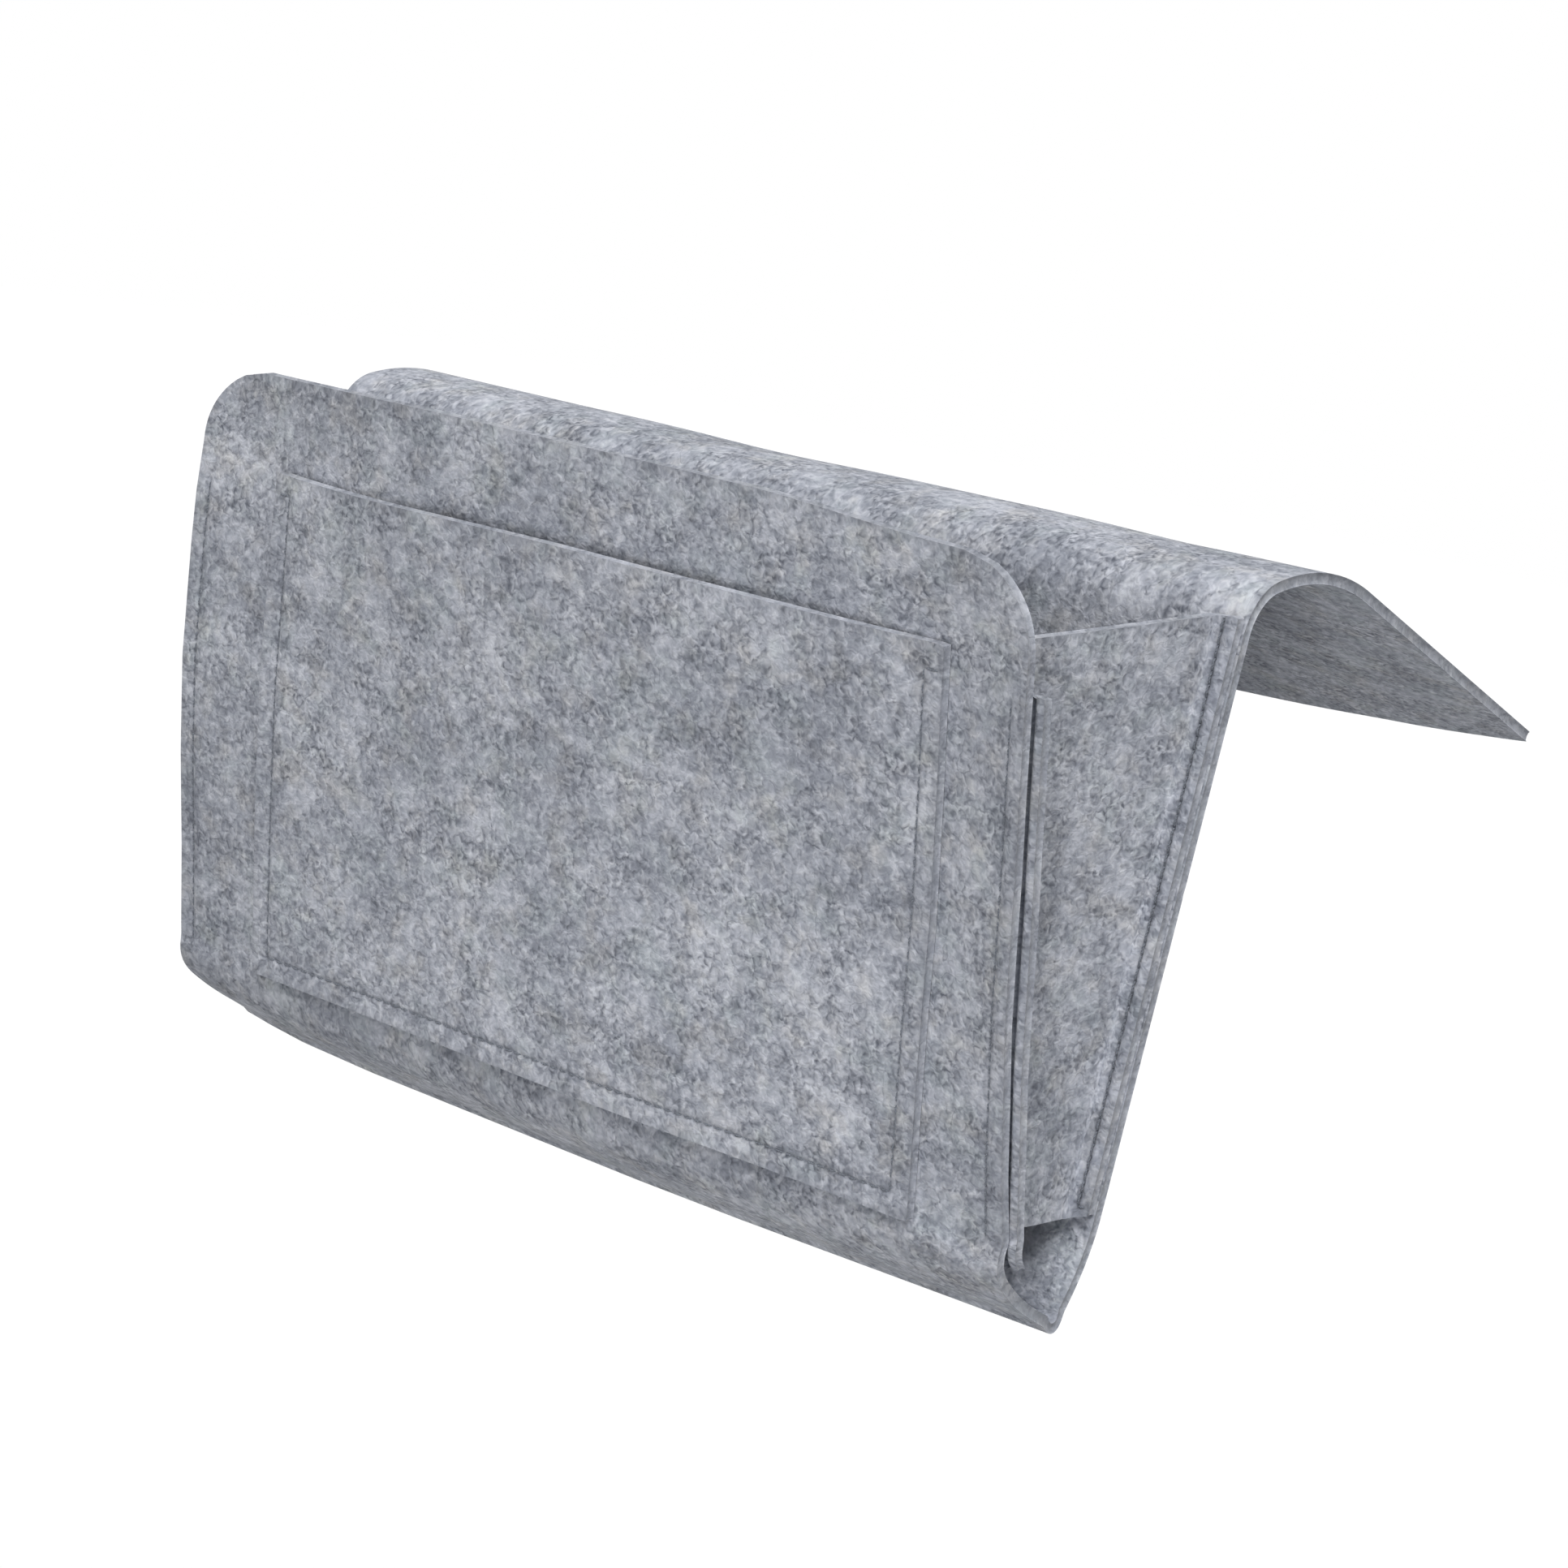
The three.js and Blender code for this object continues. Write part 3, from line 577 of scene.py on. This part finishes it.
def gusset(name, side):
    """One gusset, built up from level sections. A section is a line of places across and deep, halfway
    through the felt, from the front flange's free edge over the web to the back flange's."""
    middle = felt_thickness / 2
    face, inward, flat, rear_bite, front_bite = [], [], [], [], []
    for height in np.linspace(0, gusset_height, 134):
        rise = gusset_front_rise + height
        front_point = behind_front(np.array(rise), np.array(near_face))
        back_point = np.array([0, back_y - near_face, back_z + gusset_back_rise + height])
        depth = np.linalg.norm(front_point - back_point)
        into = (back_point - front_point) / depth

        flare = left_flare * smooth(height, 95, 140) if side < 0 else 0
        front_end = np.array([front_half + (flange_proud + flare), middle])
        front_corner = np.array([front_half + flange_proud - front_flange - middle, middle])
        back_free = float(back_half(gusset_back_rise + height)) - back_inset
        back_end = np.array([back_free, depth - middle])
        back_corner = np.array([back_free - back_flange - middle, depth - middle])
        near = crease(front_end, front_corner, back_corner, front_turn, 7)
        far = crease(front_corner, back_corner, back_end, back_turn, 7)
        line = np.concatenate([
            front_end + (near[0] - front_end) * (front_steps / (front_flange + middle - front_turn)), near,
            near[-1] + (far[0] - near[-1]) * np.linspace(0, 1, 26)[1:-1, None], far,
            back_end + (far[-1] - back_end) * (back_steps / np.linalg.norm(far[-1] - back_end)),
        ])
        walked = np.concatenate([[0], np.cumsum(np.linalg.norm(np.diff(line, axis=0), axis=1))])
        tangent = np.gradient(line, walked, axis=0)
        tangent /= np.linalg.norm(tangent, axis=1)[:, None]
        to_outer = np.column_stack([tangent[:, 1], -tangent[:, 0]])
        outer = line + to_outer * middle

        # The web bows in, its top edge rises and its hem falls towards the back. The front flange hangs
        # lower than the web and stands a little off the front, which it follows in and out.
        share = np.clip((line[:, 1] - middle) / (depth - felt_thickness), 0, 1)
        to_free = smooth(line[:, 0], back_corner[0], back_free)
        bow = -1.2 * np.sin(math.pi * share) * math.sin(math.pi * height / gusset_height)
        longer = flange_drop + foot_drop * (1 - height / gusset_height)
        drop = longer * (1 - smooth(walked, 4.5, front_flange)) * (share < 0.001)
        under = side * np.minimum(line[:, 0], front_half - 2)
        sway = front_lean(under, rise) * (1 - share) + bulge(under, rise - drop) * (drop > 0)
        lifted = (top_rise * share ** 1.1 + 0.6 * to_free) * height / gusset_height
        hem = 1.8 * smooth(share, 0, 0.6) - 2.4 * to_free * (share > 0.5)
        standing_off = (1.6 - 1.0 * height / gusset_height) * (1 - smooth(walked, 1.5, 6.5))
        lowered = behind_front(rise - drop, near_face + outer[:, 1] + standing_off)
        level = front_point + into * outer[:, 1][:, None] + np.array([0, 0, 1]) * (
            lifted - hem * (1 - smooth(height, 0, 30)))[:, None]
        place = np.where((drop > 0)[:, None], lowered, level)
        place[:, 0] = side * (outer[:, 0] + bow)
        place += front_out * sway[:, None]
        face.append(place)
        inward.append(
            np.column_stack([-side * to_outer[:, 0], 0 * share, 0 * share]) - to_outer[:, 1][:, None] * into)
        flat.append(np.column_stack([walked + 700 + 150 * side, height - drop + lifted]))

        # The rear seam bites deeper than the others. The front's cut edge has pressed a line into the flange.
        # The material paints both bites darker, as painted shade in the gap and the seam.
        at_seam = press(line[:, 0], gusset_back_rise + height + lifted, [back_line], holes=0.35)
        rear_bite.append(2.3 * at_seam * (share > 0.999))
        front_bite.append(1.3 * np.exp(-((line[:, 0] - front_half + 0.1) / 0.6) ** 2) * (share < 0.001))
    return felt_piece(name, *(np.array(rows) for rows in (face, inward, flat, rear_bite, front_bite)))


for name, side in (("left", -1), ("right", 1)):
    piece = gusset(name + "_gusset_sheet", side)
    piece.data.materials.append(felt)
    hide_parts(name + "_gusset")
    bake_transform(piece)


# Seams
# Lockstitched in spun polyester, two plies twisted, about seven stitches to the inch. Each seam is a needle
# thread on the face it was sewn from and a bobbin thread on the other, and the felt closes over the holes.

# Spun polyester sewing thread, dull and slightly hairy, dyed darker than the felt.
thread = bpy.data.materials.new("spun_polyester_thread")
thread.use_nodes = True
tree = thread.node_tree
shader = tree.nodes["Principled BSDF"]
place = node(tree, "ShaderNodeTexCoord").outputs["Object"]
fuzz = node(tree, "ShaderNodeTexNoise", {}, {"Vector": place, "Scale": 1 / 0.0004, "Detail": 2.0})
shade = node(tree, "ShaderNodeValToRGB", {}, {"Fac": fuzz.outputs[0]})
for stop, position, code in zip(shade.color_ramp.elements, (0.35, 0.65), ("#565b63", "#757b85")):
    stop.position = position
    stop.color = colour(code)
tree.links.new(shade.outputs[0], shader.inputs["Base Color"])
lift = node(tree, "ShaderNodeBump", {}, {"Height": fuzz.outputs[0], "Distance": 0.0001, "Strength": 0.6})
tree.links.new(lift.outputs[0], shader.inputs["Normal"])
shader.inputs["Roughness"].default_value = 0.75
shader.inputs["Sheen Weight"].default_value = 0.2

ply_radius, ply_offset, twist_length = 0.17, 0.13, 1.9
groove_floor, hole_depth = 0.22, 1.0


def stitches(name, line, place_at):
    """Twisted stitches along a seam line. place_at gives points on the felt and the way out of it."""
    lengths = np.linalg.norm(np.diff(line, axis=0), axis=1)
    walked = np.concatenate([[0], np.cumsum(lengths)])
    bounds = []
    for start, length in zip(walked, lengths):
        count = max(1, round(length / stitch))
        bounds += [(start + length * k / count, start + length * (k + 1) / count) for k in range(count)]
    rings, sides = 11, 5
    share = np.linspace(0, 1, rings)
    start, end = np.array(bounds).T
    along = start[:, None] + (end - start)[:, None] * share
    flat = np.stack([np.interp(along, walked, line[:, axis]) for axis in (0, 1)], -1)
    ahead = np.stack([np.interp(along + 0.05, walked, line[:, axis]) for axis in (0, 1)], -1)
    behind = np.stack([np.interp(along - 0.05, walked, line[:, axis]) for axis in (0, 1)], -1)
    at_end = along > walked[-1] - 0.06
    ahead[at_end] = flat[at_end] * 2 - behind[at_end]
    point, out = place_at(flat[..., 0], flat[..., 1])
    onward = place_at(ahead[..., 0], ahead[..., 1])[0] - point
    onward /= np.linalg.norm(onward, axis=-1)[..., None]
    across = np.cross(onward, out)
    arch = -hole_depth + hole_depth * np.sin(math.pi * share) ** 0.4
    centre = point + out * arch[:, None]
    verts, faces = [], []
    turn = 2 * math.pi * along / twist_length
    for ply in (0, math.pi):
        twist = np.cos(turn + ply)[..., None] * out + np.sin(turn + ply)[..., None] * across
        axis = centre + twist * ply_offset
        angle = 2 * math.pi * np.arange(sides) / sides
        ring = axis[:, :, None] + ply_radius * (
            np.cos(angle)[:, None] * out[:, :, None] + np.sin(angle)[:, None] * across[:, :, None])
        first = sum(len(v) for v in verts)
        number = first + np.arange(ring[..., 0].size).reshape(ring.shape[:3])
        verts.append(ring.reshape(-1, 3))
        a, b = number[:, :-1], number[:, 1:]
        walls = np.stack([a, b, np.roll(b, -1, 2), np.roll(a, -1, 2)], -1).reshape(-1, 4)
        faces += walls.tolist() + number[:, 0].tolist() + number[:, -1, ::-1].tolist()
    mesh = bpy.data.meshes.new(name)
    mesh.from_pydata((np.concatenate(verts) * mm).tolist(), [], faces)
    mesh.shade_smooth()
    piece = bpy.data.objects.new(name, mesh)
    bpy.context.scene.collection.objects.link(piece)
    piece.data.materials.append(thread)
    return piece


def front_face(facing, out):
    """Places on the front at this level, and the way out of its near or far face."""
    def place_at(x, rise):
        lean = front_lean(x, rise)
        return on_front(x, rise, lean + out), np.broadcast_to(front_out * facing, (*x.shape, 3))
    return place_at


def back_face(facing, out):
    """Places on the back at this level, and the way out of its near or far face."""
    def place_at(x, rise):
        spot = np.stack([x, back_y - out - 0 * x, back_z + rise], -1)
        return spot, np.broadcast_to(np.array([0, -1, 0]) * facing, (*x.shape, 3))
    return place_at


flange_far = near_face + felt_thickness
pocket_top = layer_gap + felt_thickness
piece = stitches("pocket_needle_stitches", pocket_line, front_face(1, pocket_top - groove_floor))
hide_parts("pocket_needle_thread")
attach(piece, "pouch_front")
piece = stitches("pocket_bobbin_stitches", pocket_line, front_face(-1, -felt_thickness + groove_floor))
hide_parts("pocket_bobbin_thread")
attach(piece, "pouch_front")
for name, side in (("left", -1), ("right", 1)):
    for run, line, face_at, body in (
        ("front_needle", front_line, front_face(1, -groove_floor), "pouch_front"),
        ("front_bobbin", front_line, front_face(-1, -flange_far + groove_floor), "pouch_front"),
        ("back_needle", back_line, back_face(1, flange_far - groove_floor), "pouch_back"),
        ("back_bobbin", back_line, back_face(-1, groove_floor), "pouch_back"),
    ):
        piece = stitches(f"{name}_{run}_stitches", line * np.array([side, 1]), face_at)
        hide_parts(f"{name}_{run}_thread")
        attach(piece, body)


# Floor, light and camera
# A pale studio floor far below the hanging caddy, a large soft key lamp up to the right, a softbox low at
# the front and even light from all round. The camera stands to the right of the caddy.

reach, floor_height = 12.0, -0.75
floor_mesh = bpy.data.meshes.new("studio_floor")
floor_corners = [(-reach, -reach, 0), (reach, -reach, 0), (reach, reach, 0), (-reach, reach, 0)]
floor_mesh.from_pydata(floor_corners, [], [(0, 1, 2, 3)])
floor = bpy.data.objects.new("studio_floor", floor_mesh)
floor.location.z = floor_height
bpy.context.scene.collection.objects.link(floor)


def seen_by_camera(tree):
    """1 on rays that reach the camera, also by way of a reflection or a clear piece, and 0 on all others."""
    path = node(tree, "ShaderNodeLightPath")
    either = node(tree, "ShaderNodeMath", {"operation": "MAXIMUM"},
                  {0: path.outputs["Is Camera Ray"], 1: path.outputs["Is Glossy Ray"]})
    return node(tree, "ShaderNodeMath", {"operation": "MAXIMUM"},
                {0: either.outputs[0], 1: path.outputs["Is Transmission Ray"]}).outputs[0]


# Matt pale paint. Seen by the camera it is lifted to white, and keeps the shadow that falls on it.
paint = bpy.data.materials.new("matt_floor_paint")
paint.use_nodes = True
tree = paint.node_tree
shader = tree.nodes["Principled BSDF"]
shader.inputs["Base Color"].default_value = colour("#9a9a9a")
shader.inputs["Roughness"].default_value = 0.9
shader.inputs["Emission Color"].default_value = colour("#ffffff")
lifted = node(tree, "ShaderNodeMath", {"operation": "MULTIPLY"}, {0: seen_by_camera(tree), 1: 0.62})
tree.links.new(lifted.outputs[0], shader.inputs["Emission Strength"])
floor_mesh.materials.append(paint)

world = bpy.data.worlds.new("studio_room")
bpy.context.scene.world = world
world.use_nodes = True
tree = world.node_tree
tree.nodes.clear()
room = node(tree, "ShaderNodeBackground", {}, {"Color": colour("#ffffff"), "Strength": 0.28})
white = node(tree, "ShaderNodeBackground", {}, {"Color": colour("#ffffff"), "Strength": 1.0})
choice = node(tree, "ShaderNodeMixShader", {},
              {0: seen_by_camera(tree), 1: room.outputs[0], 2: white.outputs[0]})
node(tree, "ShaderNodeOutputWorld", {}, {"Surface": choice.outputs[0]})

key_data = bpy.data.lights.new("key_lamp", "SUN")
key_data.energy = 3.1
key_data.angle = math.radians(40)
key = bpy.data.objects.new("key_lamp", key_data)
key.rotation_mode = "QUATERNION"
key.rotation_quaternion = Vector((0.34, -0.42, 0.84)).to_track_quat("Z", "Y")
bpy.context.scene.collection.objects.link(key)

# A gridded softbox, aimed right of the middle, so the light falls off to the left.
fill_data = bpy.data.lights.new("fill_softbox", "AREA")
fill_data.energy = 0.275
fill_data.size = 0.5
fill_data.spread = math.radians(38)
fill = bpy.data.objects.new("fill_softbox", fill_data)
fill.location = (0.42, -1.0, -0.45)
fill.rotation_mode = "QUATERNION"
fill.rotation_quaternion = (fill.location - Vector((0.075, -0.17, -0.09))).to_track_quat("Z", "Y")
bpy.context.scene.collection.objects.link(fill)

# The camera was fitted to the photo's outlines. It stands a little above the caddy and is held askew.
sensor_width, focal_pixels, picture_width = 36, 4400, 1932
camera_data = bpy.data.cameras.new("camera")
camera_data.sensor_width = sensor_width
camera_data.lens = sensor_width * focal_pixels / picture_width
camera_data.clip_end = 60
camera = bpy.data.objects.new("camera", camera_data)
bpy.context.scene.collection.objects.link(camera)
ahead = Vector((-0.6064, 0.7807, -0.15098)).normalized()
above = Vector((-0.22936, 0.01008, 0.97329))
across = ahead.cross(above).normalized()
above = across.cross(ahead)
stand = Matrix((across, above, -ahead)).transposed().to_4x4()
stand.translation = Vector((0.63525, -0.89052, 0.08839))
camera.matrix_world = stand
bpy.context.scene.camera = camera

bpy.context.scene.view_settings.view_transform = "Standard"
